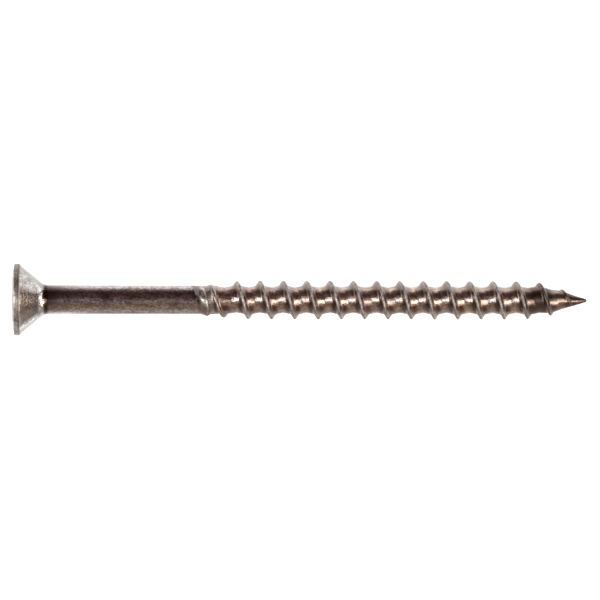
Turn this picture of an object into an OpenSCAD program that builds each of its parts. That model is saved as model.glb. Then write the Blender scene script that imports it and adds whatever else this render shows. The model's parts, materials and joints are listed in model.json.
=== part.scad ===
// Deck screw with a flat head, a square drive, a plain shank, a coarse right-hand thread and a gimlet point.
// It is one rolled piece of steel and lies on a level surface, on the rim of its head and the last full
// crests of its thread. The head is towards -X and the point towards +X. Lengths are in millimetres, angles
// in degrees.

/* [Overall] */
// Length from the top of the head to the point
length = 63.5; // [57:0.5:76]

/* [Head] */
// Diameter over the rim
head_d = 7.94; // [7.4:0.02:8.6]
// Height of the straight edge round the rim
head_edge = 0.54; // [0.36:0.02:0.8]
// Included angle of the cone under the head
head_angle = 82; // [78:1:90]
// Height that the crown falls from the flat to the rim
crown_drop = 0.2; // [0.1:0.02:0.3]
// Diameter of the flat round the drive recess
flat_d = 4.6; // [4.3:0.1:5.2]
// Radius that rounds the rim's corners
rim_radius = 0.12; // [0.04:0.02:0.16]
// Radius of the fillet between the cone and the shank
neck_radius = 0.6; // [0.2:0.1:1.2]

/* [Drive recess] */
// Width of the square recess across its flats
recess_w = 2.85; // [2.5:0.05:2.9]
// Radius of the recess's corners
recess_corner = 0.18; // [0.1:0.02:0.3]
// Depth of the square walls
recess_depth = 1.9; // [1.5:0.1:2.1]
// Depth of the cone in the recess's floor
recess_pit = 0.4; // [0.2:0.1:0.5]
// Angle by which the recess is turned round the screw, from the side that it lies on
recess_angle = 22.5; // [0:2.5:90]

/* [Shank] */
// Diameter of the plain shank
shank_d = 3.15; // [2.95:0.05:3.3]
// Length from the top of the head to the end of the plain shank
shank_end = 22.6; // [18:0.2:27]
// Length of the taper that ends the shank
shank_taper = 0.35; // [0.2:0.05:0.6]

/* [Thread] */
// Diameter over the crests
thread_d = 4.28; // [3.9:0.02:4.5]
// Diameter at the middle of the root
root_d = 2.8; // [2.5:0.02:2.9]
// Distance from crest to crest
pitch = 2.577; // [2.2:0.001:2.9]
// Width of the flat on the crest
crest_w = 0.1; // [0.06:0.01:0.2]
// Width of the crest at its blunt start
start_crest_w = 0.5; // [0.2:0.05:0.6]
// Included angle between the flanks
flank_angle = 56; // [44:1:60]
// Height that the hollow root rises from its middle to the foot of each flank
root_rise = 0.2; // [0.04:0.01:0.26]
// Length of shank that the first turn rises on
thread_lap = 2.36; // [1.4:0.02:3]
// Angle round the screw at which the thread starts, from the side that it lies on
start_angle = 180; // [0:10:350]
// Height of the blunt start of the ridge above the shank
start_height = 0.33; // [0.1:0.01:0.4]
// Number of turns before the crest starts to rise
rise_delay = 0.5; // [0.2:0.1:0.8]
// Number of turns in which it then rises to its full diameter
rise_turns = 1.7; // [1:0.1:2.5]
// Distance that the first half turn is drawn towards the point
start_hook = 0.6; // [0:0.05:0.7]

/* [Point] */
// Included angle of the gimlet point
point_angle = 33; // [28:1:40]
// Radius of the very tip
tip_radius = 0.2; // [0.12:0.01:0.26]
// Half of the length over which the root curves into the point
point_blend = 1.8; // [1.2:0.1:2.4]
// Distance from the tip at which the crest starts to sink
sink_from_tip = 10.77; // [6:0.01:12]
// Distance from the tip at which the thread has faded out
bare_tip = 1.2; // [0.8:0.1:2]

/* [Hidden] */
steel = [0.53, 0.45, 0.40];
burnished = [0.62, 0.53, 0.47];
$fn = 96;

// Straight steps round a turn, and points across one pitch
facets = 36;
profile_points = 7;
// Steps in a rounded corner, and rings in the tip's nose
corner_steps = 4;
nose_rings = 3;
// Height that the flanks keep room for where the ridge has sunk
ridge_seed = 0.15;
// Turns in which the ridge comes out of the shank, its blunt start sinks, and it is drawn along
start_ramp = 0.1;
blunt_turns = 0.65;
hook_turns = 0.9;
// Depth that the shank's end reaches below the root
end_sink = 0.12;
// Height by which the recess's space stands out of the head's top, and overlap with the cone in its floor
cut_over = 0.5;
pit_lap = 0.02;

head_r = head_d / 2;
shank_r = shank_d / 2;
thread_r = thread_d / 2;
root_r = root_d / 2;
cone_half = head_angle / 2;
rim_z = crown_drop + head_edge;
rim_centre_r = head_r - rim_radius;
rim_centre_z = rim_z - rim_radius * tan(cone_half / 2);
cone_end = rim_z + (head_r - shank_r) / tan(cone_half);
thread_start = shank_end - thread_lap;
core_start = thread_start - start_ramp * pitch;
flank_tan = tan(flank_angle / 2);
point_half = point_angle / 2;
point_tan = tan(point_half);
cone_apex = length + tip_radius * (1 / sin(point_half) - 1);
point_start = cone_apex - root_r / point_tan;
nose_start = length - tip_radius * (1 - sin(point_half));
sink_start = length - sink_from_tip;
sink_end = length - bare_tip;

// Points of an arc in the plane of a profile
function arc(centre, radius, from, to, steps) = [
    for (k = [0:steps])
        let (a = from + (to - from) * k / steps)
            [centre[0] + radius * cos(a), centre[1] + radius * sin(a)]
];

// Radius of the root at a distance from the top of the head: a cylinder that curves into the point
function root_at(z) =
    z < point_start - point_blend ? root_r
    : z > point_start + point_blend ? max(0, (cone_apex - z) * point_tan)
    : root_r - point_tan * pow(z - point_start + point_blend, 2) / (4 * point_blend);

// A number held between 0 and 1
function share(value) = max(0, min(1, value));

// Height of the ridge above the root: blunt at its start, low, then full, and sunk at the point
function ridge_at(z) =
    let (turns = (z - thread_start) / pitch)
        let (blunt = start_height * (1 + cos(180 * share(turns / blunt_turns))) / 2)
            let (risen = (thread_r - shank_r) * (1 - pow(1 - share((turns - rise_delay) / rise_turns), 2)))
                let (sunk = share((z - sink_start) / (sink_end - sink_start)))
                    (shank_r - root_r + blunt + risen) * share(1 + turns / start_ramp) * (1 - pow(sunk, 3));

// Falls from 1 at the start of the ridge to 0 where the ridge has taken its true course and width
function start_share(z) = (1 + cos(180 * share((z - thread_start) / (pitch * hook_turns)))) / 2;

// Turns round the screw of one step, which puts the flat between two steps on the side that it lies on
function turn_of(i) = (i + 0.5) / facets;

// Place of the crest at one step round the helix, which starts in the turn before the thread does
function crest_z(i) = thread_start + pitch * (turn_of(i) - start_angle / 360 - 1);

// Place along the screw and height above the root of the points across one pitch: the middle of the root,
// a point in its hollow, the foot of a flank, the edges of the crest, and the same down the other flank
function profile_point(i, j) =
    let (z = crest_z(i), h = ridge_at(z), rise = root_rise * share(h / (thread_r - root_r)))
        let (half = crest_w / 2 + (start_crest_w - crest_w) / 2 * start_share(z))
            let (foot = half + (max(h, ridge_seed) - rise) * flank_tan, hollow = (foot + pitch / 2) / 2)
                let (along = [-pitch / 2, -hollow, -foot, -half, half, foot, hollow][j])
                    let (drawn = start_hook * start_share(z) * [0, 0.5, 1, 1, 1, 1, 0.5][j])
                        [z + along + drawn, [0, rise / 4, rise, h, h, rise, rise / 4][j]];

// Radius and place of a point of the thread's surface
function surface_point(i, j) =
    let (p = profile_point(i, j))
        [root_at(p[0]) + p[1], p[0]];

function ring_point(radius, i, z) = [radius * cos(360 * turn_of(i)), radius * sin(360 * turn_of(i)), z];

sections = facets * ceil((nose_start - crest_z(0)) / pitch + 1.5);
helix_points = [
    for (i = [0:sections - 1], j = [0:profile_points - 1])
        let (p = surface_point(i, j))
            ring_point(p[0], i, p[1])
];
start_ring = [for (i = [0:facets - 1]) ring_point(root_r, i, core_start)];
nose_points = [
    for (m = [0:nose_rings - 1], i = [0:facets - 1])
        let (a = point_half + (90 - point_half) * m / nose_rings)
            ring_point(tip_radius * cos(a), i, length - tip_radius * (1 - sin(a)))
];
first_start = sections * profile_points;
first_nose = first_start + facets;
start_centre = first_nose + nose_rings * facets;
tip_point = start_centre + 1;

// Number of a point of the thread's surface, or of the ring that it ends in before the start or at the nose
function helix_index(i, j) =
    j == profile_points ? helix_index(i + facets, 0)
    : let (z = profile_point(i, j)[0])
        z <= core_start ? first_start + i % facets
        : z >= nose_start ? first_nose + i % facets
        : i * profile_points + j;

// Two triangles between four points, less any that has closed up
function quad(a, b, c, d) = [
    if (a != b && b != c && a != c) [a, b, c],
    if (a != c && c != d && a != d) [a, c, d]
];

helix_faces = [
    for (i = [0:sections - 1], j = [0:profile_points - 1])
        each quad(helix_index(i, j), helix_index(i, j + 1), helix_index(i + 1, j + 1), helix_index(i + 1, j))
];
start_faces = [for (i = [0:facets - 1]) [start_centre, first_start + i, first_start + (i + 1) % facets]];
nose_faces = [
    for (m = [0:nose_rings - 2], i = [0:facets - 1])
        let (low = first_nose + m * facets, high = low + facets, next = (i + 1) % facets)
            each quad(low + i, high + i, high + next, low + next)
];
last_ring = first_nose + (nose_rings - 1) * facets;
tip_faces = [for (i = [0:facets - 1]) [tip_point, last_ring + (i + 1) % facets, last_ring + i]];

// The threaded length: root, ridge and point in one closed surface
module threaded_end()
    color(burnished)
        polyhedron(
            points = concat(helix_points, start_ring, nose_points, [[0, 0, core_start], [0, 0, length]]),
            faces = concat(helix_faces, start_faces, nose_faces, tip_faces)
        );

// The head and the plain shank, turned from one profile
module head_and_shank() {
    top_corner = arc([head_r - rim_radius, crown_drop + rim_radius], rim_radius, -90, 0, corner_steps);
    low_corner = arc([rim_centre_r, rim_centre_z], rim_radius, 0, cone_half, corner_steps);
    neck_z = cone_end + neck_radius * tan(cone_half / 2);
    neck = arc([shank_r + neck_radius, neck_z], neck_radius, 180 + cone_half, 180, corner_steps);
    shank_tip = [
        [shank_r, shank_end],
        [root_r - end_sink, shank_end + shank_taper],
        [0, shank_end + shank_taper]
    ];
    color(steel)
        rotate_extrude()
            polygon(concat([[0, 0], [flat_d / 2, 0]], top_corner, low_corner, neck, shank_tip));
}

// Outline of the square recess
function recess_outline() =
    let (c = recess_w / 2 - recess_corner)
        concat(
            arc([c, c], recess_corner, 0, 90, corner_steps),
            arc([-c, c], recess_corner, 90, 180, corner_steps),
            arc([-c, -c], recess_corner, 180, 270, corner_steps),
            arc([c, -c], recess_corner, 270, 360, corner_steps)
        );

// The space of the square drive, with a shallow cone in its floor
module drive_recess()
    color(steel) {
        translate([0, 0, -cut_over])
            linear_extrude(recess_depth + cut_over)
                polygon(recess_outline());
        translate([0, 0, recess_depth - pit_lap])
            cylinder(h = recess_pit + pit_lap, r1 = recess_w / 2 - recess_corner, r2 = 0);
    }

// The screw upright, with the top of its head at the origin and its point at +Z
module upright_screw()
    union() {
        rotate([0, 0, recess_angle])
            difference() {
                head_and_shank();
                drive_recess();
            }
        threaded_end();
    }

// Crests on the side that the screw lies on
turn_from_floor = start_angle / 360;
floor_crests = [
    for (k = [ceil(turn_from_floor):floor(turn_from_floor + (sink_end - thread_start) / pitch)])
        thread_start + pitch * (k - turn_from_floor)
];

// Slope at which the screw would rest on its rim and on a crest, at a distance from the top of its head
function slope_on(z) =
    let (crest_r = (root_at(z) + ridge_at(z)) * cos(180 / facets))
    let (rise = rim_centre_r - crest_r, run = z + crest_w / 2 - rim_centre_z)
        atan(rise / run) + asin(rim_radius / norm([rise, run]));

// It rests at the least of them, taken at both ends of the flat step by which a crest meets the surface
rest_slope = min([for (z = floor_crests, end = [-0.5, 0.5]) slope_on(z + end * pitch / facets)]);
axis_height = rim_centre_r * cos(rest_slope) + rim_centre_z * sin(rest_slope) + rim_radius;
middle = (length * cos(rest_slope) - flat_d / 2 * sin(rest_slope)) / 2;

// The screw as it lies, with the middle of its footprint at the origin
module screw()
    translate([-middle, 0, axis_height])
        rotate([0, 90 + rest_slope, 0])
            upright_screw();

screw();
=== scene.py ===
"""Finish of the deck screw: its surface as one fine mesh, its steel, and the photograph's light and camera.

The mesh is made in the screw's own frame, in millimetres: x towards the side that it lies on, y across,
and z from the top of the head to the point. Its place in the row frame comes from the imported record.
"""

import json
import math

import bpy
import numpy as np
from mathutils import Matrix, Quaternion, Vector


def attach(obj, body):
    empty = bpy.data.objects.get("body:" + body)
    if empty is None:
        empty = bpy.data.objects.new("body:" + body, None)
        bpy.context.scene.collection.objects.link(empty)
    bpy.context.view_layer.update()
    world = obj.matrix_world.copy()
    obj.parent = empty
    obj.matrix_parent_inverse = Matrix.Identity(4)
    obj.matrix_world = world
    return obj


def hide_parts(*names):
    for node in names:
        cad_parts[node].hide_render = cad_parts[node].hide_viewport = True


MM = 0.001

# Sizes, the same as in the part's source
LENGTH = 63.5
HEAD_R = 3.97
HEAD_EDGE = 0.54
HEAD_HALF = math.radians(41)
CROWN_DROP = 0.2
FLAT_R = 2.3
RIM_RADIUS = 0.12
RECESS_HALF = 1.425
RECESS_CORNER = 0.18
RECESS_DEPTH = 1.9
RECESS_PIT = 0.4
RECESS_TURN = 22.5 / 360
SHANK_R = 1.575
SHANK_END = 22.6
SHANK_TAPER = 0.35
END_SINK = 0.12
THREAD_R = 2.14
ROOT_R = 1.4
ROOT_RISE = 0.2
PITCH = 2.577
FLANK_TAN = math.tan(math.radians(28))
THREAD_LAP = 2.36
START_TURN = 0.5
START_HEIGHT = 0.33
RISE_DELAY = 0.5
RISE_TURNS = 1.7
BLUNT_TURNS = 0.65
POINT_HALF = math.radians(16.5)
TIP_RADIUS = 0.2
POINT_BLEND = 1.8
SINK_START = LENGTH - 10.77
SINK_END = LENGTH - 1.2

# Forms that are softer here than in the source: the fillet under the head, the crests, and the fillets of
# the thread's root and of the place where it meets the shank
NECK_RADIUS = 1.5
CREST_HALF = 0.08
CREST_ROUND = 0.13
ROOT_FILLET = 0.12
LEAST_FILLET = 0.02
LAP_FILLET = 0.16

# First turn of the ridge, wider and rounder than the rest: the turns in which it rises and narrows, and how
# far it is drawn towards the point at its start and towards the head about one turn on
START_CREST_HALF = 0.34
START_ROUND = 0.55
START_RAMP = 0.25
START_TURNS = 1.3
START_LAG = 1.0
LAG_TURNS = 0.55
START_LEAD = 0.45
LEAD_TURN = 0.95
LEAD_TURNS = 0.5

# Height that the mesh's points leave room for where the ridge has sunk, and how far it is pressed in there
LEAST_RIDGE = 0.15
LEAST_SINK = 0.1

# Distances from the crest within which the ridge strays in full and the hollow of the root has ended
STRAY_HALF = 0.3
HOLLOW_HALF = 0.35
HOLLOW_POWER = 1.2

# Where the mesh's points lie across the thread: steps in the root, how far the fillet at a flank's foot is
# followed in shares of its width and of the flank's, and two points by the crest in half widths of the crest
ROOT_STEPS = 6
FILLET_REACH = 0.8
FLANK_REACH = 0.6
CREST_SHOULDER = 1.8
CREST_EDGE = 0.9

# Strips at the foot of the ridge that take painted shade, in turns from the crest: on the head's side and on
# the tip's side.
# Each fades in over the first two numbers and out over the last two.
HEEL_STRIP = (0.02, 0.08, 0.2, 0.36)
TOE_STRIP = (0.1, 0.18, 0.3, 0.42)

# Columns round the screw, and the least radius that a point of the thread may have
COLUMNS = 120
LEAST_R = 0.02

THREAD_START = SHANK_END - THREAD_LAP
CORE_START = THREAD_START - START_RAMP * PITCH
CONE_APEX = LENGTH + TIP_RADIUS * (1 / math.sin(POINT_HALF) - 1)
POINT_START = CONE_APEX - ROOT_R / math.tan(POINT_HALF)
NOSE_START = LENGTH - TIP_RADIUS * (1 - math.sin(POINT_HALF))
RIM_Z = CROWN_DROP + HEAD_EDGE
CONE_END = RIM_Z + (HEAD_R - SHANK_R) / math.tan(HEAD_HALF)

AZIMUTH = 2 * math.pi * np.arange(COLUMNS) / COLUMNS
CIRCLE = np.stack([np.cos(AZIMUTH), np.sin(AZIMUTH)], axis=1)


def smooth_max(a, b, width):
    """The greater of two surfaces, with a fillet where they are closer than width."""
    return np.maximum(a, b) + np.maximum(0, width - np.abs(a - b)) ** 2 / (4 * width)


def share(value):
    """A value held between 0 and 1."""
    return np.clip(value, 0, 1)


def within(value, start, full, fading, end):
    """1 from full to fading, with a straight slope to 0 at start and at end."""
    return share((value - start) / (full - start)) * share((end - value) / (end - fading))


def half_cosine(value):
    """Falls from 1 to 0 as value goes from 0 to 1, level at both ends."""
    return (1 + np.cos(np.pi * share(value))) / 2


# Thread


def root_at(z):
    """Radius of the root: a cylinder that curves into the cone of the point."""
    tan = math.tan(POINT_HALF)
    curve = ROOT_R - tan * (z - POINT_START + POINT_BLEND) ** 2 / (4 * POINT_BLEND)
    cone = np.maximum(0, (CONE_APEX - z) * tan)
    tapered = np.where(z > POINT_START + POINT_BLEND, cone, curve)
    return np.where(z < POINT_START - POINT_BLEND, ROOT_R, tapered)


def ridge_at(z):
    """Height of the ridge above the root: blunt at its start, then rising, and sunk at the point."""
    turns = (z - THREAD_START) / PITCH
    blunt = START_HEIGHT * half_cosine(turns / BLUNT_TURNS)
    risen = (THREAD_R - SHANK_R) * (1 - (1 - share((turns - RISE_DELAY) / RISE_TURNS)) ** 2)
    sunk = share((z - SINK_START) / (SINK_END - SINK_START))
    return (SHANK_R - ROOT_R + blunt + risen) * share(1 + turns / START_RAMP) * (1 - sunk**3)


def shank_at(z):
    """Radius of the plain shank, which drops below the root where it ends."""
    return SHANK_R - (SHANK_R - ROOT_R + END_SINK) * share((z - SHANK_END) / SHANK_TAPER)


def start_share(z):
    """Falls from 1 at the start of the ridge to 0 where the ridge has taken its true width."""
    return half_cosine((z - THREAD_START) / (PITCH * START_TURNS))


def start_hook(z):
    """How far the first turn of the ridge strays along the screw: at first it runs almost straight round."""
    turns = (z - THREAD_START) / PITCH
    lead = START_LEAD * half_cosine(np.abs(turns - LEAD_TURN) / LEAD_TURNS)
    return START_LAG * half_cosine(turns / LAG_TURNS) - lead


def profile_stations(height, half_crest):
    """Offsets from the crest across one pitch, closest together where the profile bends most."""
    foot = half_crest + height * FLANK_TAN
    fillet = np.minimum(FILLET_REACH * ROOT_FILLET, FLANK_REACH * height * FLANK_TAN)
    bend = foot + fillet
    middle = PITCH / 2
    shoulder = CREST_SHOULDER * half_crest
    half = [middle + (bend - middle) * k / ROOT_STEPS for k in (0, 0.25, *range(1, ROOT_STEPS))]
    half += [bend - fillet * k / 2 for k in range(4)]
    half += [(foot - fillet + shoulder) / 2, shoulder, CREST_EDGE * half_crest]
    left = [-d for d in half]
    right = half[:0:-1]
    return np.stack(np.broadcast_arrays(*left, 0 * height, *right), axis=-1)


def from_root(offset, full_at):
    """Rises from 0 at the middle of the root to 1 at full_at from the crest."""
    return share((PITCH / 2 - np.abs(offset)) / (PITCH / 2 - full_at))


def profile_height(offset, full, half_crest, starting):
    """Height above the root beside a crest that stands full above it: a rounded ridge over a hollow root."""
    hollow = ROOT_RISE * share(full / (THREAD_R - ROOT_R)) * from_root(offset, HOLLOW_HALF) ** HOLLOW_POWER
    ledge = full - LEAST_SINK * share(1 - full / LEAST_RIDGE)
    flank = ledge - (np.abs(offset) - half_crest) / FLANK_TAN
    ridge = -smooth_max(-ledge, -flank, CREST_ROUND + START_ROUND * starting)
    return smooth_max(ridge, hollow, np.minimum(ROOT_FILLET, LEAST_FILLET + 2 * full))


def thread_surface(columns):
    """Place along the screw, radius and shading of the points of the thread's grid, column by column.

    The shading is how far up the ridge a point is, and how near its foot on the head's and the tip's side.
    """
    crest = THREAD_START + PITCH * (columns / COLUMNS - START_TURN - 1)
    full = ridge_at(crest)
    starting = start_share(crest)
    half_crest = CREST_HALF + (START_CREST_HALF - CREST_HALF) * starting
    offset = profile_stations(np.maximum(full, LEAST_RIDGE), half_crest)
    crest, full, starting, half_crest = (row[:, None] for row in (crest, full, starting, half_crest))
    z = crest + offset + start_hook(crest) * from_root(offset, STRAY_HALF)
    height = profile_height(offset, full, half_crest, starting)
    radius = root_at(z) + height
    lap = z < SHANK_END + SHANK_TAPER
    radius = np.where(lap, smooth_max(radius, shank_at(z), LAP_FILLET), radius)
    turns = offset / PITCH
    heel = within(-turns, *HEEL_STRIP)
    toe = within(turns, *TOE_STRIP)
    shade = np.stack([share(height / (THREAD_R - ROOT_R)), heel, toe], axis=-1)
    return z, np.maximum(radius, LEAST_R), shade


# Head

# Outline: places of the crown's points and the power of its curve, the angle where the rim's rounding starts,
# and the steps of each stretch
CROWN_SHARES = (0.0, 0.2, 0.4, 0.6, 0.8, 0.92)
CROWN_POWER = 1.4
RIM_START = -80
RIM_TOP_STEPS = 5
EDGE_STEPS = 3
RIM_LOW_STEPS = 4
CONE_STEPS = 10
NECK_STEPS = 8
SHANK_STEPS = 36

# Recess: rings of its conical floor, the foot and draft of its walls and the rounding of its mouth as pairs
# of how far out and how deep, rings from the mouth to the round flat, and the straight share of each side
FLOOR_SHARES = (0.35, 0.7, 1.0)
WALL_FOOT = ((-0.05, 1.9), (-0.02, 1.88), (-0.012, 1.84))
WALL_DRAFT = ((-0.01, 1.4), (-0.006, 0.9), (-0.002, 0.4), (0, 0.08))
MOUTH_ROUND = ((0.01, 0.045), (0.035, 0.015), (0.07, 0.0))
FLAT_SHARES = (0.3, 0.7)
STRAIGHT = 0.8


def arc(centre_r, centre_z, radius, start, end, steps):
    """Radius and place of the points of an arc in the screw's profile, angles from the radial direction."""
    angles = [math.radians(start + (end - start) * k / steps) for k in range(steps + 1)]
    return [(centre_r + radius * math.cos(a), centre_z + radius * math.sin(a)) for a in angles]


def between(start, end, steps):
    """Points inside a straight stretch."""
    return [tuple(a + (b - a) * k / steps for a, b in zip(start, end)) for k in range(1, steps)]


def head_profile():
    """Outline of the head and the plain shank from the flat round the recess to the start of the thread."""
    half = math.degrees(HEAD_HALF)
    rim_r = HEAD_R - RIM_RADIUS
    crown = [(FLAT_R + (rim_r - FLAT_R) * t, CROWN_DROP * t**CROWN_POWER) for t in CROWN_SHARES]
    top = arc(rim_r, CROWN_DROP + RIM_RADIUS, RIM_RADIUS, RIM_START, 0, RIM_TOP_STEPS)
    low_z = RIM_Z - RIM_RADIUS * math.tan(HEAD_HALF / 2)
    low = arc(rim_r, low_z, RIM_RADIUS, 0, half, RIM_LOW_STEPS)
    neck_z = CONE_END + NECK_RADIUS * math.tan(HEAD_HALF / 2)
    neck = arc(SHANK_R + NECK_RADIUS, neck_z, NECK_RADIUS, 180 + half, 180, NECK_STEPS)
    edge = between(top[-1], low[0], EDGE_STEPS)
    cone = between(low[-1], neck[0], CONE_STEPS)
    shank = between(neck[-1], (SHANK_R, CORE_START), SHANK_STEPS)
    return crown + top + edge + low + cone + neck + shank


def square_outline(half, corner):
    """Points round a square with rounded corners, one for each column, closer together at the corners."""
    flat = half - corner
    points = []
    for i in range(COLUMNS):
        turn = (i / COLUMNS - RECESS_TURN) * 4
        side = math.floor(turn + 0.5)
        t = (turn - side) * 2
        if abs(t) < STRAIGHT:
            x, y = half, flat * t / STRAIGHT
        else:
            a = (abs(t) - STRAIGHT) / (1 - STRAIGHT) * math.pi / 4
            x, y = flat + corner * math.cos(a), math.copysign(flat + corner * math.sin(a), t)
        a = math.pi / 2 * side + 2 * math.pi * RECESS_TURN
        points.append((x * math.cos(a) - y * math.sin(a), x * math.sin(a) + y * math.cos(a)))
    return np.array(points)


def recess_rings():
    """Rings from the middle of the recess's floor, up its walls and out to the flat of the head."""
    cone_r = RECESS_HALF - RECESS_CORNER
    rings = [(cone_r * t * CIRCLE, RECESS_DEPTH + RECESS_PIT * (1 - t)) for t in FLOOR_SHARES]
    for out, z in WALL_FOOT + WALL_DRAFT:
        rings.append((square_outline(RECESS_HALF + out, RECESS_CORNER), z))
    for out, z in MOUTH_ROUND:
        rings.append((square_outline(RECESS_HALF + out, RECESS_CORNER + out), z))
    mouth = rings[-1][0]
    return rings + [(mouth * (1 - t) + FLAT_R * CIRCLE * t, 0.0) for t in FLAT_SHARES]


# Mesh

NOSE_RINGS = 4


class Surface:
    """Points, their shading, and faces, gathered piece by piece in the screw's frame."""

    def __init__(self):
        self.points = []
        self.shade = []
        self.faces = []
        self.count = 0

    def add(self, points, shade=None):
        """Adds points and gives the number of the first."""
        self.points.append(points)
        self.shade.append(np.zeros((len(points), 3)) if shade is None else shade)
        first = self.count
        self.count += len(points)
        return first

    def ring(self, xy, z):
        """Adds one point for each column, all at the same place along the screw."""
        return self.add(np.column_stack([xy, np.full(COLUMNS, z)]))

    def bands(self, rings):
        """Faces between each ring and the next."""
        for low, high in zip(rings, rings[1:]):
            for i in range(COLUMNS):
                k = (i + 1) % COLUMNS
                self.faces.append((low + i, low + k, high + k, high + i))

    def grid(self, numbers):
        """Faces of a grid of point numbers. Corners that fall together leave a triangle, or no face."""
        corners = [numbers[:-1, :-1], numbers[1:, :-1], numbers[1:, 1:], numbers[:-1, 1:]]
        for quad in np.stack(corners, axis=-1).reshape(-1, 4).tolist():
            kept = [p for k, p in enumerate(quad) if p != quad[k - 1]]
            if len(set(kept)) > 2:
                self.faces.append(tuple(kept))

    def cleaned(self):
        """Points that faces use, the faces with the new numbers, and the shading of those points."""
        used = np.unique(np.concatenate([np.array(f) for f in self.faces]))
        number = np.zeros(self.count, int)
        number[used] = np.arange(len(used))
        faces = [tuple(number[list(f)].tolist()) for f in self.faces]
        return np.vstack(self.points)[used], faces, np.vstack(self.shade)[used]


def add_head(surface):
    """Recess, head and plain shank. Gives the number of the last ring's first point."""
    middle = surface.add(np.array([[0, 0, RECESS_DEPTH + RECESS_PIT]]))
    rings = [surface.ring(xy, z) for xy, z in recess_rings()]
    rings += [surface.ring(r * CIRCLE, z) for r, z in head_profile()]
    rings.append(surface.ring(SHANK_R * CIRCLE, CORE_START))
    surface.faces += [(middle, rings[0] + (i + 1) % COLUMNS, rings[0] + i) for i in range(COLUMNS)]
    surface.bands(rings)
    return rings[-1]


def add_nose(surface):
    """Rounded tip. Gives the number of its first ring's first point."""
    angles = [POINT_HALF + (math.pi / 2 - POINT_HALF) * k / NOSE_RINGS for k in range(NOSE_RINGS)]
    heights = [LENGTH - TIP_RADIUS * (1 - math.sin(a)) for a in angles]
    rings = [surface.ring(TIP_RADIUS * math.cos(a) * CIRCLE, z) for a, z in zip(angles, heights)]
    tip = surface.add(np.array([[0, 0, LENGTH]]))
    surface.bands(rings)
    surface.faces += [(rings[-1] + i, rings[-1] + (i + 1) % COLUMNS, tip) for i in range(COLUMNS)]
    return rings[0]


def add_thread(surface, shank_ring, nose_ring):
    """Grid that follows the helix. What lies outside the thread's length falls on the rings at its ends."""
    turns = math.ceil((NOSE_START - CORE_START) / PITCH + 3)
    columns = np.arange(COLUMNS * turns)
    z, radius, shade = thread_surface(columns)
    xy = radius[:, :, None] * CIRCLE[columns % COLUMNS][:, None, :]
    first = surface.add(np.dstack([xy, z]).reshape(-1, 3), shade.reshape(-1, 3))
    numbers = first + np.arange(z.size).reshape(z.shape)
    spot = (columns % COLUMNS)[:, None]
    numbers = np.where(z <= CORE_START, shank_ring + spot, numbers)
    numbers = np.where(z >= NOSE_START, nose_ring + spot, numbers)
    surface.grid(np.hstack([numbers[:-COLUMNS], numbers[COLUMNS:, :1]]))


def placed(points):
    """Points of the screw's frame in the row frame, in metres, by the place of the recess in the record."""
    mount = next(m for m in frame["record"]["mounts"] if m["name"] == "drive_recess")
    along = -Vector(mount["axis"]).normalized()
    across = Vector((0, 1, 0))
    floor_side = across.cross(along)
    axes = np.array([floor_side, across, along])
    return points * MM @ axes + np.array(mount["pos_m"])


def make_screw():
    """The screw as one mesh, whose points carry their place in the screw's frame and their shading."""
    surface = Surface()
    shank_ring = add_head(surface)
    nose_ring = add_nose(surface)
    add_thread(surface, shank_ring, nose_ring)
    points, faces, shade = surface.cleaned()
    mesh = bpy.data.meshes.new("screw_surface")
    mesh.from_pydata(placed(points).tolist(), [], faces)
    mesh.validate()
    mesh.shade_smooth()
    for name, values in (("screw_place", points), ("thread_shade", shade)):
        attribute = mesh.attributes.new(name, "FLOAT_VECTOR", "POINT")
        attribute.data.foreach_set("vector", values.astype(np.float32).ravel())
    made = bpy.data.objects.new("screw_surface", mesh)
    bpy.context.scene.collection.objects.link(made)
    return made


# Nodes


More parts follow.
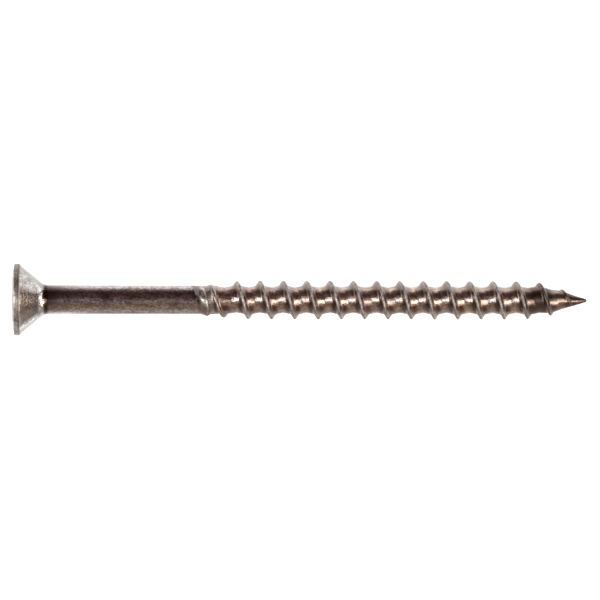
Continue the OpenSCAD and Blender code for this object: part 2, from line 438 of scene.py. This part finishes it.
class Nodes:
    """Short calls for the node tree of one material or world."""

    def __init__(self, owner):
        owner.use_nodes = True
        self.tree = owner.node_tree
        self.tree.nodes.clear()

    def add(self, kind, inputs=None, **settings):
        """A new shader node, with its inputs by name or number and its settings by name."""
        made = self.tree.nodes.new("ShaderNode" + kind)
        for name, value in settings.items():
            setattr(made, name, value)
        for key, value in (inputs or {}).items():
            self.put(made.inputs[key], value)
        return made

    def put(self, socket, value):
        """Links an output to the socket, or sets a plain value on it."""
        if isinstance(value, bpy.types.NodeSocket):
            self.tree.links.new(value, socket)
        else:
            socket.default_value = value

    def math(self, operation, a, b):
        return self.add("Math", {0: a, 1: b}, operation=operation).outputs[0]

    def greater(self, a, b):
        return self.math("MAXIMUM", a, b)

    def times(self, first, *others):
        """Product of the values."""
        for value in others:
            first = self.math("MULTIPLY", first, value)
        return first

    def total(self, first, *others):
        """Sum of the values."""
        for value in others:
            first = self.math("ADD", first, value)
        return first

    def ramp(self, value, low, high, start=0.0, end=1.0):
        """Goes from start to end as value goes from low to high, and is level outside them."""
        inputs = {"Value": value, "From Min": low, "From Max": high, "To Min": start, "To Max": end}
        return self.add("MapRange", inputs).outputs[0]

    def blend(self, zone, outside, inside):
        """Goes from outside to inside as zone goes from 0 to 1."""
        return self.ramp(zone, 0.0, 1.0, outside, inside)

    def within(self, value, start, full, fading, end):
        """1 from full to fading, with a straight slope to 0 at start and at end."""
        return self.times(self.ramp(value, start, full), self.ramp(value, end, fading))

    def mix(self, factor, a, b):
        """Colour a where factor is 0, and b where it is 1."""
        return self.add("Mix", {0: factor, 6: a, 7: b}, data_type="RGBA").outputs[2]

    def paint(self, under, colour, *shares):
        """Colour laid over another one, as thick as the product of the shares."""
        return self.mix(self.times(*shares), under, colour)

    def parts(self, vector):
        """The three numbers of a vector."""
        return self.add("SeparateXYZ", {0: vector}).outputs

    def attribute(self, name):
        return self.add("Attribute", attribute_name=name, attribute_type="GEOMETRY").outputs["Vector"]

    def noise(self, vector, scale, detail, rough):
        inputs = {"Vector": vector, "Scale": scale, "Detail": detail, "Roughness": rough}
        return self.add("TexNoise", inputs).outputs[0]

    def stretched(self, vector, by):
        return self.add("Mapping", {"Vector": vector, "Scale": by}).outputs[0]


# Steel

HEAD_STEEL = (0.76, 0.74, 0.71, 1)
# Colours of painted light: reflections, shade and highlights on the head, the highlight also on the thread's
# start
HEAD_GREY = (0.40, 0.41, 0.38, 1)
HIGHLIGHT_WHITE = (0.98, 0.97, 0.95, 1)
HEAD_TAN = (0.48, 0.42, 0.36, 1)
HEAD_BROWN = (0.33, 0.27, 0.22, 1)
HEAD_BLUE = (0.15, 0.145, 0.165, 1)
EDGE_BROWN = (0.21, 0.18, 0.155, 1)
NECK_BLACK = (0.03, 0.017, 0.012, 1)
NECK_BROWN = (0.045, 0.029, 0.021, 1)
SHANK_STEEL = (0.65, 0.60, 0.58, 1)
ROOT_STEEL = (0.66, 0.52, 0.44, 1)
# Painted shade on the thread's flanks
FLANK_SHADE_STEEL = (0.42, 0.30, 0.24, 1)
CREST_STEEL = (0.60, 0.58, 0.55, 1)
# Painted shade at the ridge's foot
FOOT_SHADE_BLACK = (0.08, 0.03, 0.015, 1)
STAIN = (0.20, 0.15, 0.13, 1)
# Black of painted shade, and of the darker patches near the point
DARKENING_BLACK = (0.10, 0.065, 0.06, 1)
OXIDE_RED = (0.36, 0.20, 0.18, 1)
OXIDE_BLUE = (0.22, 0.21, 0.27, 1)
GRAIN_DEPTH = 0.03 * MM

# Zones round the screw, in radians from straight up and positive towards +Y. A zone of four numbers fades in
# over the first two and out over the last two. One of two is nothing at the first and full at the second.
HEEL_SIDE = (-1.1, -0.85, -0.3, -0.05)
TOE_SIDE = (-1.1, -0.85, -0.5, -0.35)
UPPER_SHADE_SIDE = (0.15, 0.4)
START_BRIGHT_SIDE = (-0.6, 0.0)
START_BLACK_SIDE = (-0.1, 0.1)
DARK_REFLECTION_SIDE = (-0.82, -0.68, 0.22, 0.32)
CONE_BRIGHT_SIDE = (-1.12, -1.0, -0.88, -0.76)
CONE_GREY_LOW = (-0.95, -1.15)
CONE_GREY_HIGH = (0.7, 1.1)
NECK_BRIGHT_SIDE = (-0.65, -0.45, 0.5, 0.75)
SHANK_BLACK_SIDE = (-0.4, 0.1)
RING_BLACK_SIDE = (-0.1, 0.25)

# Zones along the screw, in millimetres from the top of the head, written in the same way
HEAD_ZONE = (CONE_END + 0.05, CONE_END - 0.1)
THREAD_ZONE = (THREAD_START - 0.1, THREAD_START + 1.0)
FIRST_CREST = (THREAD_START + 0.25, THREAD_START + 0.6, THREAD_START + 1.6, THREAD_START + 2.6)
FIRST_RISE = (THREAD_START - 0.5, THREAD_START - 0.2, THREAD_START + 0.25, THREAD_START + 0.5)
EDGE_LINE = (RIM_Z - 0.13, RIM_Z - 0.05, RIM_Z + 0.05, RIM_Z + 0.12)
EDGE_DULL = (RIM_Z + 0.3, RIM_Z + 0.1)
CONE_PAINT_ZONE = (RIM_Z + 0.05, RIM_Z + 0.4, CONE_END - 0.75, CONE_END - 0.5)
CONE_BLUE = (CONE_END - 1.3, CONE_END - 0.85)
NECK_BRIGHT = (CONE_END - 0.62, CONE_END - 0.45)
NECK_RING = (CONE_END - 0.08, CONE_END + 0.08, CONE_END + 0.3, CONE_END + 0.6)
SHANK_BLACK = (CONE_END - 0.08, CONE_END + 0.08, CONE_END + 0.8, 7.5)
POINT_DARKER = (56.3, 57.2)
POINT_BLACK = (56.5, 57.3, 59.2, 59.9)
TIP_BLACK = (60.7, 61.4)

# Zones up the ridge, in shares of its full height, written in the same way
FLANK_ZONE = (0.05, 0.25)
CREST_ZONE = (0.5, 0.8)
CREST_DULL = (0.7, 0.9)

# Noises: the two values between which each one works, and what it then goes from and to
RAGGED_TURN = (0.3, 0.7, -0.12, 0.12)
SHADE_GRAIN = (0.35, 0.5, 0.75, 1.0)
REFLECTION_GRAIN = (0.4, 0.62, 0.0, 1.0)
RED_CLOUDS = (0.45, 0.7, 0.0, 0.5)
BLUE_CLOUDS = (0.5, 0.65, 0.0, 0.6)
STAIN_CLOUDS = (0.48, 0.72, 0.0, 0.3)
PIT_STAIN = (0.44, 0.58, 0.0, 0.55)
PIT_ROUGH = (0.42, 0.6, 0.03, 0.0)
CLOUD_ROUGH = (0.3, 0.7, -0.04, 0.06)

# How thick a painted layer is: painted shade, painted highlight, darker patches at the point and pits. A pair
# goes from one to the other across the zone that it belongs to.
UPPER_SHADE_SHARE = 0.5
START_BRIGHT_SHARES = (0.15, 0.45)
START_BLACK_SHARES = (0.0, 0.7)
BLUE_SHARE = 0.7
EDGE_SHARE = 0.85
RING_SHARE = 0.96
SHANK_BLACK_SHARES = (0.35, 0.85)
POINT_DARKER_SHARE = 0.6
POINT_BLACK_SHARE = 0.8
PIT_SHARES = (1.0, 0.7)

# Roughness of the shank and the thread, and what crests, head and edge add to it
SHANK_ROUGH = 0.19
THREAD_ROUGH = 0.275
CREST_ROUGH = 0.2
FIRST_CREST_ROUGH = 0.12
HEAD_ROUGH = -0.1
EDGE_ROUGH = 0.32


class SteelNodes(Nodes):
    """Nodes of the steel, with the places and noises that its colour and gloss depend on."""

    def __init__(self, material):
        super().__init__(material)
        self.place = self.attribute("screw_place")
        x, y, self.z = self.parts(self.place)
        self.turn = self.math("ARCTAN2", y, self.times(x, -1.0))
        self.ridge, self.heel, self.toe = self.parts(self.attribute("thread_shade"))
        self.head = self.ramp(self.z, *HEAD_ZONE)
        self.thread = self.ramp(self.z, *THREAD_ZONE)
        self.first_crest = self.within(self.z, *FIRST_CREST)
        self.blotch = self.noise(self.place, scale=0.8, detail=4.0, rough=0.6)
        self.grain = self.noise(self.place, scale=5.0, detail=2.0, rough=0.6)
        self.pits = self.noise(self.stretched(self.place, (1.0, 1.0, 0.8)), scale=4.2, detail=1.0, rough=0.5)
        self.ragged = self.total(self.turn, self.ramp(self.blotch, *RAGGED_TURN))


def thread_colour(n):
    """Brown root, flanks in painted shade and pale crests, with painted shade in strips on both sides of the
    ridge's foot towards -Y.
    """
    # Painted shade: the flanks darker than the root
    colour = n.mix(n.ramp(n.ridge, *FLANK_ZONE), ROOT_STEEL, FLANK_SHADE_STEEL)
    colour = n.mix(n.ramp(n.ridge, *CREST_ZONE), colour, CREST_STEEL)
    # Painted shade in the strips at the ridge's foot, towards -Y, broken up by the grain
    heel = n.times(n.heel, n.within(n.turn, *HEEL_SIDE))
    toe = n.times(n.toe, n.within(n.turn, *TOE_SIDE))
    return n.paint(colour, FOOT_SHADE_BLACK, n.greater(heel, toe), n.ramp(n.grain, *SHADE_GRAIN))


def shank_colour(n):
    """Plain shank and thread, with painted shade at the ridge's foot towards +Y, and on the ridge's first
    turn a painted highlight on its crest and painted shade where it rises.
    """
    colour = n.mix(n.thread, SHANK_STEEL, thread_colour(n))
    # Painted shade at the head's side of the ridge's foot, towards +Y
    colour = n.paint(colour, FOOT_SHADE_BLACK, n.heel, n.ramp(n.turn, *UPPER_SHADE_SIDE), n.thread, UPPER_SHADE_SHARE)
    # Painted highlight on the crest of the ridge's first turn, strongest towards +Y
    bright = n.ramp(n.turn, *START_BRIGHT_SIDE, *START_BRIGHT_SHARES)
    colour = n.paint(colour, HIGHLIGHT_WHITE, n.first_crest, bright)
    # Painted shade where the ridge rises from the shank, towards +Y
    black = n.ramp(n.turn, *START_BLACK_SIDE, *START_BLACK_SHARES)
    return n.paint(colour, DARKENING_BLACK, n.within(n.z, *FIRST_RISE), black)


def head_colour(n):
    """Pale cone with painted light: grey reflections at its sides, a dark brown reflection with bluish shade
    towards the neck, a bright reflection beside it, a highlight at the neck, and brown shade on the rim's
    edge.
    """
    # Painted reflection: grey towards the cone's sides
    grey = n.greater(n.ramp(n.turn, *CONE_GREY_LOW), n.ramp(n.turn, *CONE_GREY_HIGH))
    colour = n.mix(grey, HEAD_STEEL, HEAD_GREY)
    on_cone = n.within(n.z, *CONE_PAINT_ZONE)
    # Painted dark reflection: a grained brown patch across the middle of the cone
    dark_reflection = n.times(n.within(n.ragged, *DARK_REFLECTION_SIDE), on_cone)
    reflection_tone = n.mix(n.ramp(n.grain, *REFLECTION_GRAIN), HEAD_BROWN, HEAD_TAN)
    colour = n.paint(colour, reflection_tone, dark_reflection)
    # Painted shade: the dark patch turns blue-black towards the neck
    colour = n.paint(colour, HEAD_BLUE, n.ramp(n.z, *CONE_BLUE), dark_reflection, BLUE_SHARE)
    # Painted reflection: a bright streak on the cone towards -Y
    colour = n.paint(colour, HIGHLIGHT_WHITE, n.within(n.turn, *CONE_BRIGHT_SIDE), on_cone)
    # Painted highlight: a bright arc at the cone's end by the neck
    colour = n.paint(colour, HIGHLIGHT_WHITE, n.ramp(n.z, *NECK_BRIGHT), n.within(n.ragged, *NECK_BRIGHT_SIDE))
    # Painted shade: the rim's lower edge darkened all round, over its highlight
    return n.paint(colour, EDGE_BROWN, n.within(n.z, *EDGE_LINE), EDGE_SHARE)


def oxides(n, colour):
    """Thin clouds of red and blue oxide and of brown stain, all over the screw."""
    red = n.noise(n.stretched(n.place, (1.0, 1.0, 0.5)), scale=1.3, detail=3.0, rough=0.6)
    blue = n.noise(n.stretched(n.place, (-1.0, 1.0, 0.5)), scale=1.7, detail=3.0, rough=0.6)
    colour = n.mix(n.ramp(red, *RED_CLOUDS), colour, OXIDE_RED)
    colour = n.mix(n.ramp(blue, *BLUE_CLOUDS), colour, OXIDE_BLUE)
    return n.mix(n.ramp(n.blotch, *STAIN_CLOUDS), colour, STAIN)


def scale(n, colour):
    """Painted shade in black on the shank past the head and in a ring at the neck, and darker patches near
    the point.
    """
    # Painted shade on the shank past the head, thickest towards +Y
    black = n.ramp(n.turn, *SHANK_BLACK_SIDE, *SHANK_BLACK_SHARES)
    colour = n.paint(colour, DARKENING_BLACK, n.within(n.z, *SHANK_BLACK), black)
    # Painted shade in a ring at the neck, black towards +Y and brown towards -Y
    ring = n.mix(n.ramp(n.turn, *RING_BLACK_SIDE), NECK_BROWN, NECK_BLACK)
    colour = n.paint(colour, ring, n.within(n.z, *NECK_RING), RING_SHARE)
    # Darker towards the point, with black patches by the last turns and at the tip
    colour = n.paint(colour, STAIN, n.ramp(n.z, *POINT_DARKER), POINT_DARKER_SHARE)
    patches = n.greater(n.within(n.z, *POINT_BLACK), n.ramp(n.z, *TIP_BLACK))
    return n.paint(colour, DARKENING_BLACK, patches, POINT_BLACK_SHARE)


def pitting(n, colour):
    """Small brown pits, fainter on the head."""
    return n.paint(colour, STAIN, n.ramp(n.pits, *PIT_STAIN), n.blend(n.head, *PIT_SHARES))


def roughness(n):
    """Glossy shank, duller thread, and dull crests and head's edge, all a little uneven."""
    return n.total(
        n.blend(n.thread, SHANK_ROUGH, THREAD_ROUGH),
        n.ramp(n.pits, *PIT_ROUGH),
        n.times(n.ramp(n.ridge, *CREST_DULL), CREST_ROUGH),
        n.ramp(n.blotch, *CLOUD_ROUGH),
        n.times(n.first_crest, FIRST_CREST_ROUGH),
        n.times(n.head, HEAD_ROUGH),
        n.times(n.ramp(n.z, *EDGE_DULL), EDGE_ROUGH),
    )


def steel():
    """The screw's one material. Each step of its colour is painted over the one before."""
    material = bpy.data.materials.new("drawn_steel")
    n = SteelNodes(material)
    colour = n.mix(n.head, shank_colour(n), head_colour(n))
    colour = pitting(n, scale(n, oxides(n, colour)))
    relief = n.times(n.total(n.grain, n.pits), 0.5)
    bump = n.add("Bump", {"Strength": 1.0, "Distance": GRAIN_DEPTH, "Height": relief})
    look = {"Base Color": colour, "Metallic": 1.0, "Roughness": roughness(n), "Normal": bump.outputs[0]}
    n.add("OutputMaterial", {"Surface": n.add("BsdfPrincipled", look).outputs[0]})
    return material


# Floor

FLOOR_HALF = 3.0
FLOOR_GREY = (0.55, 0.57, 0.58, 1)
WHITE = (1, 1, 1, 1)
SEEN_WHITE = 0.92
MIRRORED_WHITE = 0.8

# Edges of the white that the floor shows to mirrored rays, each from nothing to full, in metres: its near
# edge, its far edge, which is open past the middle of the screw, and a slanting edge past the point
NEAR_EDGE = (-0.0048, -0.0012)
FAR_EDGE = (0.022, 0.010)
FAR_OPEN = (-0.008, 0.004)
SLANT_EDGE = (-0.004, 0.004)
SLANT_OPEN = (0.045, 0.03)
SLANT_START = -0.03
SLANT = 0.25

# White beside the head: where it begins along the screw, and its zone across
BY_HEAD_ALONG = (-0.023, -0.026)
BY_HEAD_ACROSS = (-0.014, -0.009, -0.001, 0.0)


def mirrored_white(n):
    """How white the floor is to mirrored rays, by the place that they meet."""
    x, y = n.parts(n.add("NewGeometry").outputs["Position"])[:2]
    far = n.greater(n.ramp(y, *FAR_EDGE), n.ramp(x, *FAR_OPEN))
    sides = n.math("MINIMUM", n.ramp(y, *NEAR_EDGE), far)
    slanted = n.math("SUBTRACT", y, n.times(n.math("SUBTRACT", x, SLANT_START), SLANT))
    past_point = n.greater(n.ramp(slanted, *SLANT_EDGE), n.ramp(x, *SLANT_OPEN))
    by_head = n.times(n.ramp(x, *BY_HEAD_ALONG), n.within(y, *BY_HEAD_ACROSS))
    return n.times(n.greater(n.times(sides, past_point), by_head), MIRRORED_WHITE)


def floor():
    """A wide floor that takes the screw's shadow, white to the camera and in part to mirrored rays."""
    corners = ((-1, -1), (1, -1), (1, 1), (-1, 1))
    mesh = bpy.data.meshes.new("floor")
    mesh.from_pydata([(x * FLOOR_HALF, y * FLOOR_HALF, 0) for x, y in corners], [], [(0, 1, 2, 3)])
    made = bpy.data.objects.new("floor", mesh)
    bpy.context.scene.collection.objects.link(made)
    material = bpy.data.materials.new("white_floor")
    n = Nodes(material)
    rays = n.add("LightPath").outputs
    mirrored = n.times(n.greater(rays["Is Glossy Ray"], rays["Is Transmission Ray"]), mirrored_white(n))
    seen = n.greater(n.times(rays["Is Camera Ray"], SEEN_WHITE), mirrored)
    diffuse = n.add("BsdfDiffuse", {"Color": FLOOR_GREY})
    white = n.add("Emission", {"Color": WHITE, "Strength": seen})
    mixed = n.add("AddShader", {0: diffuse.outputs[0], 1: white.outputs[0]})
    n.add("OutputMaterial", {"Surface": mixed.outputs[0]})
    mesh.materials.append(material)


# Light and camera

LAMP_DISTANCE = 0.9
LAMP_COOL = (0.92, 0.98, 1.0)
LAMP_WARM = (1.0, 0.95, 0.85)

SKY_PALE = (0.36, 0.26, 0.20, 1)
SKY_DARK = (0.074, 0.037, 0.031, 1)
CORNER_DARK = (0.03, 0.015, 0.01, 1)
CORNER_SHARE = 0.7
FAR_GLOW = (0.25, 0.17, 0.15, 1)
NEAR_HAZE = (0.42, 0.35, 0.29, 1)
POINT_CARD = (1.9, 1.75, 1.6, 1)
HEAD_CARD = (1.8, 1.7, 1.65, 1)

# Zones of the studio, in the parts of a direction's unit vector
SKY_Y = (-0.9, 0.0)
CORNER_X = (-0.4, -0.7)
CORNER_Y = (0.0, -0.2)
GLOW_Y = (0.8, 0.93)
GLOW_Z = (0.42, 0.05)
HAZE_Y = (-0.5, -0.9)
HAZE_Z = (0.6, 0.0)
POINT_CARD_X = (0.7, 0.85)
POINT_CARD_Z = (0.1, 0.2, 0.5, 0.66)
POINT_CARD_LEAN = 1.6
POINT_CARD_SIDE = (1.0, 0.87)
HEAD_CARD_X = (-0.65, -0.8)
HEAD_CARD_Y = (-0.1, 0.1, 0.33, 0.5)
HEAD_CARD_Z = (0.12, 0.22, 0.55, 0.7)

# The picture's width in pixels, one pixel at the screw's axis, and how high that axis lies over the floor
PICTURE_WIDTH = 600
PIXEL = 0.1105 * MM
AXIS_HEIGHT = 3 * MM
CAMERA_DISTANCE = 0.5
CAMERA_SHIFT = (0.03 * MM, 0.01 * MM)
CAMERA_TURN = math.radians(0.1)


def lamp(name, tilt_x, tilt_y, size, twist, radiance, colour):
    """An area lamp that faces the screw. Its tilt from straight above is in degrees towards +X and +Y."""
    way = Vector((math.tan(math.radians(tilt_x)), math.tan(math.radians(tilt_y)), 1)).normalized()
    data = bpy.data.lights.new(name, "AREA")
    data.shape = "RECTANGLE"
    data.size_y, data.size = size
    data.energy = math.pi * size[0] * size[1] * radiance
    data.color = colour
    made = bpy.data.objects.new(name, data)
    made.location = way * LAMP_DISTANCE
    made.rotation_mode = "QUATERNION"
    made.rotation_quaternion = way.to_track_quat("Z", "Y") @ Quaternion((0, 0, 1), math.radians(twist))
    bpy.context.scene.collection.objects.link(made)


def surroundings():
    """A dark brown studio, paler towards -Y and low on both sides, with a pale card past each end.

    Its corner towards -X and -Y is darker again.
    """
    world = bpy.data.worlds.new("studio")
    bpy.context.scene.world = world
    n = Nodes(world)
    x, y, z = n.parts(n.add("TexCoord").outputs["Generated"])
    sky = n.mix(n.ramp(y, *SKY_Y), SKY_PALE, SKY_DARK)
    sky = n.paint(sky, CORNER_DARK, n.ramp(x, *CORNER_X), n.ramp(y, *CORNER_Y), CORNER_SHARE)
    sky = n.paint(sky, FAR_GLOW, n.ramp(z, *GLOW_Z), n.ramp(y, *GLOW_Y))
    sky = n.paint(sky, NEAR_HAZE, n.ramp(z, *HAZE_Z), n.ramp(y, *HAZE_Y))
    side = n.ramp(n.total(y, n.times(z, POINT_CARD_LEAN)), *POINT_CARD_SIDE)
    sky = n.paint(sky, POINT_CARD, n.within(z, *POINT_CARD_Z), n.ramp(x, *POINT_CARD_X), side)
    side = n.within(y, *HEAD_CARD_Y)
    sky = n.paint(sky, HEAD_CARD, n.within(z, *HEAD_CARD_Z), n.ramp(x, *HEAD_CARD_X), side)
    background = n.add("Background", {"Color": sky, "Strength": 1.0})
    n.add("OutputWorld", {"Surface": background.outputs[0]})


def camera():
    """Straight above the screw, through a long lens that sees the picture's width at the screw's axis."""
    data = bpy.data.cameras.new("camera")
    data.sensor_width = 36
    data.lens = data.sensor_width * CAMERA_DISTANCE / (PICTURE_WIDTH * PIXEL)
    made = bpy.data.objects.new("camera", data)
    made.location = (*CAMERA_SHIFT, CAMERA_DISTANCE + AXIS_HEIGHT)
    made.rotation_euler = (0, 0, CAMERA_TURN)
    bpy.context.scene.collection.objects.link(made)
    bpy.context.scene.camera = made


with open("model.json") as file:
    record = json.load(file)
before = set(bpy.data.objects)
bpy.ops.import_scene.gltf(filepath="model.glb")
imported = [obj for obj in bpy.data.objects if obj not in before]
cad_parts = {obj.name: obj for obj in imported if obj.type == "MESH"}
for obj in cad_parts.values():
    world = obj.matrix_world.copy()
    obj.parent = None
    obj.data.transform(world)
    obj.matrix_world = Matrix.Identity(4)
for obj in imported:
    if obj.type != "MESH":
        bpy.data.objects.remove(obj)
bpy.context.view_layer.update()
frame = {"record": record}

screw = make_screw()
screw.data.materials.append(steel())
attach(screw, "root")
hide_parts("screw")

floor()
lamp("left_lamp", tilt_x=-34, tilt_y=-2, size=(0.6, 0.2), twist=-22, radiance=12.0, colour=LAMP_COOL)
lamp("right_lamp", tilt_x=40, tilt_y=-14, size=(0.66, 0.22), twist=-14, radiance=8.5, colour=LAMP_WARM)
surroundings()
camera()
bpy.context.scene.view_settings.view_transform = "Standard"
